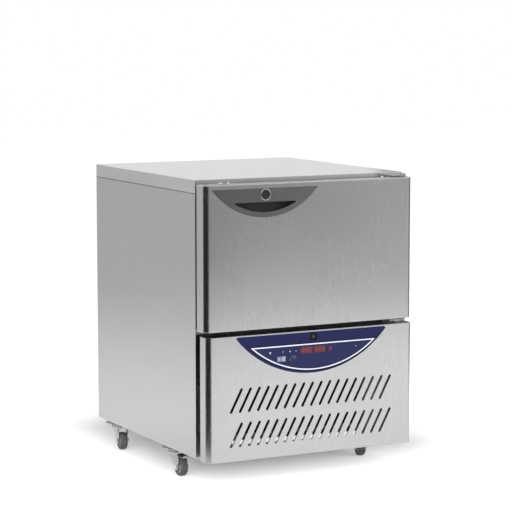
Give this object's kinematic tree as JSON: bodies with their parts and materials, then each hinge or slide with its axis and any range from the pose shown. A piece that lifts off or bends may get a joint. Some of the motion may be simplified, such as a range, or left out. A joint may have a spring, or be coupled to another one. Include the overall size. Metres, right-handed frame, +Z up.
{
  "type": "under-counter blast chiller",
  "caption": "Under-counter blast chiller on castors: hinged insulated door with moulded handle over a louvred machine compartment whose front panel tilts open.",
  "frame": {"origin": "centre of the bounding box's footprint, on the floor under the castors", "axes": "+X to the right as one faces the door, +Y from the front to the back, +Z up"},
  "size_m": [0.62, 0.705, 0.805],
  "materials": {
    "brushed_sheet": "satin",
    "inner_sheet": "satin",
    "zinc_plated": "gloss",
    "chrome_wire": "polished",
    "foam": "matte",
    "gasket_rubber": "matte",
    "handle_plastic": "satin",
    "black_plastic": "satin",
    "cam_steel": "satin",
    "blue_fascia": "gloss",
    "display": "gloss",
    "button_plastic": "satin",
    "motor_paint": "satin",
    "fan_blade": "satin",
    "coil_fins": "satin",
    "copper": "satin",
    "drain_plastic": "satin",
    "box_plastic": "satin",
    "castor_tyre": "matte"
  },
  "bodies": {
    "cabinet": {"worktop": "brushed_sheet", "left_side_panel": "brushed_sheet", "right_side_panel": "brushed_sheet", "back_panel": "brushed_sheet", "chamber_liner": "inner_sheet", "front_frame": "inner_sheet", "tray_racks": "inner_sheet", "fan_baffle": "inner_sheet", "base_tray": "zinc_plated", "castor_plates": "zinc_plated", "cabinet_screws": "zinc_plated", "lock_keepers": "zinc_plated", "hinge_brackets": "zinc_plated", "hinge_pins": "zinc_plated", "condenser_shroud": "zinc_plated", "cabinet_insulation": "foam", "compressor_mounts": "gasket_rubber", "mains_inlet": "black_plastic", "evaporator_fan_motor": "motor_paint", "condenser_fan_motor": "motor_paint", "compressor": "motor_paint", "evaporator_coil": "coil_fins", "condenser_coil": "coil_fins", "refrigerant_pipes": "copper", "drain_pipe": "drain_plastic", "electrical_box": "box_plastic"},
    "door": {"door_skin": "brushed_sheet", "door_insulation": "foam", "door_liner": "inner_sheet", "door_gasket": "gasket_rubber", "door_handle": "handle_plastic", "door_lock_barrel": "chrome_wire", "door_bushes": "zinc_plated"},
    "door_cam": {"door_lock_cam": "cam_steel"},
    "panel": {"louvre_panel": "brushed_sheet", "control_fascia": "blue_fascia", "display_windows": "display", "control_board": "black_plastic", "panel_latch_body": "black_plastic"},
    "panel_cam": {"panel_latch_cam": "cam_steel"},
    "evaporator_fan": {"evaporator_fan_blade": "fan_blade"},
    "condenser_fan": {"condenser_fan_blade": "fan_blade"},
    "button_1": {"button_1": "button_plastic"},
    "button_2": {"button_2": "button_plastic"},
    "button_3": {"button_3": "button_plastic"},
    "button_4": {"button_4": "button_plastic"},
    "button_5": {"button_5": "button_plastic"},
    "shelf_1": {"wire_shelf_1": "chrome_wire"},
    "shelf_2": {"wire_shelf_2": "chrome_wire"},
    "shelf_3": {"wire_shelf_3": "chrome_wire"},
    "fork_fl": {"castor_fork_fl": "zinc_plated"},
    "wheel_fl": {"castor_wheel_fl": "castor_tyre"},
    "fork_fr": {"castor_fork_fr": "zinc_plated"},
    "wheel_fr": {"castor_wheel_fr": "castor_tyre"},
    "fork_rl": {"castor_fork_rl": "zinc_plated"},
    "wheel_rl": {"castor_wheel_rl": "castor_tyre"},
    "fork_rr": {"castor_fork_rr": "zinc_plated"},
    "wheel_rr": {"castor_wheel_rr": "castor_tyre"},
    "pedal_fl": {"brake_pedal_fl": "zinc_plated"},
    "pedal_fr": {"brake_pedal_fr": "zinc_plated"}
  },
  "joints": [
    {"name": "door_hinge", "type": "hinge", "parent": "cabinet", "child": "door", "pos_m": [0.292, -0.319, 0], "axis": [0, 0, 1], "range_deg": [0, 110]},
    {"name": "panel_hinge", "type": "hinge", "parent": "cabinet", "child": "panel", "pos_m": [0, -0.3445, 0.082], "axis": [1, 0, 0], "range_deg": [0, 80]},
    {"name": "door_lock_turn", "type": "hinge", "parent": "door", "child": "door_cam", "pos_m": [-0.1345, -0.32, 0.7655], "axis": [0, -1, 0], "range_deg": [0, 90]},
    {"name": "panel_latch_turn", "type": "hinge", "parent": "panel", "child": "panel_cam", "pos_m": [0.004, -0.32, 0.3863], "axis": [0, 1, 0], "range_deg": [0, 90]},
    {"name": "button_1_press", "type": "slide", "parent": "panel", "child": "button_1", "axis": [0, 1, 0], "range_m": [0, 0.0008], "stiffness_N_per_m": 300, "springref_m": -0.0005},
    {"name": "button_2_press", "type": "slide", "parent": "panel", "child": "button_2", "axis": [0, 1, 0], "range_m": [0, 0.0008], "stiffness_N_per_m": 300, "springref_m": -0.0005},
    {"name": "button_3_press", "type": "slide", "parent": "panel", "child": "button_3", "axis": [0, 1, 0], "range_m": [0, 0.0008], "stiffness_N_per_m": 300, "springref_m": -0.0005},
    {"name": "button_4_press", "type": "slide", "parent": "panel", "child": "button_4", "axis": [0, 1, 0], "range_m": [0, 0.0008], "stiffness_N_per_m": 300, "springref_m": -0.0005},
    {"name": "button_5_press", "type": "slide", "parent": "panel", "child": "button_5", "axis": [0, 1, 0], "range_m": [0, 0.0008], "stiffness_N_per_m": 300, "springref_m": -0.0005},
    {"name": "shelf_1_slide", "type": "slide", "parent": "cabinet", "child": "shelf_1", "axis": [0, -1, 0], "range_m": [0, 0.06]},
    {"name": "shelf_2_slide", "type": "slide", "parent": "cabinet", "child": "shelf_2", "axis": [0, -1, 0], "range_m": [0, 0.06]},
    {"name": "shelf_3_slide", "type": "slide", "parent": "cabinet", "child": "shelf_3", "axis": [0, -1, 0], "range_m": [0, 0.06]},
    {"name": "evaporator_fan_spin", "type": "hinge", "parent": "cabinet", "child": "evaporator_fan", "pos_m": [0, 0.15, 0.5915], "axis": [0, 1, 0], "continuous": true},
    {"name": "condenser_fan_spin", "type": "hinge", "parent": "cabinet", "child": "condenser_fan", "pos_m": [-0.06, -0.19, 0.249], "axis": [0, 1, 0], "continuous": true},
    {"name": "castor_fl_swivel", "type": "hinge", "parent": "cabinet", "child": "fork_fl", "pos_m": [-0.28, -0.109, 0.06], "axis": [0, 0, 1], "continuous": true},
    {"name": "castor_fl_roll", "type": "hinge", "parent": "fork_fl", "child": "wheel_fl", "pos_m": [-0.28, -0.136, 0.025], "axis": [1, 0, 0], "continuous": true},
    {"name": "castor_fr_swivel", "type": "hinge", "parent": "cabinet", "child": "fork_fr", "pos_m": [0.28, -0.109, 0.06], "axis": [0, 0, 1], "continuous": true},
    {"name": "castor_fr_roll", "type": "hinge", "parent": "fork_fr", "child": "wheel_fr", "pos_m": [0.27439, -0.13541, 0.025], "axis": [0.9781, -0.2079, 0], "continuous": true},
    {"name": "castor_rl_swivel", "type": "hinge", "parent": "cabinet", "child": "fork_rl", "pos_m": [-0.28, 0.271, 0.06], "axis": [0, 0, 1], "continuous": true},
    {"name": "castor_rl_roll", "type": "hinge", "parent": "fork_rl", "child": "wheel_rl", "pos_m": [-0.28376, 0.24426, 0.025], "axis": [0.9903, -0.1392, 0], "continuous": true},
    {"name": "castor_rr_swivel", "type": "hinge", "parent": "cabinet", "child": "fork_rr", "pos_m": [0.28, 0.271, 0.06], "axis": [0, 0, 1], "continuous": true},
    {"name": "castor_rr_roll", "type": "hinge", "parent": "fork_rr", "child": "wheel_rr", "pos_m": [0.28653, 0.2448, 0.025], "axis": [0.9703, 0.2419, 0], "continuous": true},
    {"name": "castor_fl_brake", "type": "hinge", "parent": "fork_fl", "child": "pedal_fl", "pos_m": [-0.28, -0.128, 0.056], "axis": [1, 0, 0], "range_deg": [0, 10]},
    {"name": "castor_fr_brake", "type": "hinge", "parent": "fork_fr", "child": "pedal_fr", "pos_m": [0.27605, -0.12759, 0.056], "axis": [0.9781, -0.2079, 0], "range_deg": [0, 10]}
  ]
}
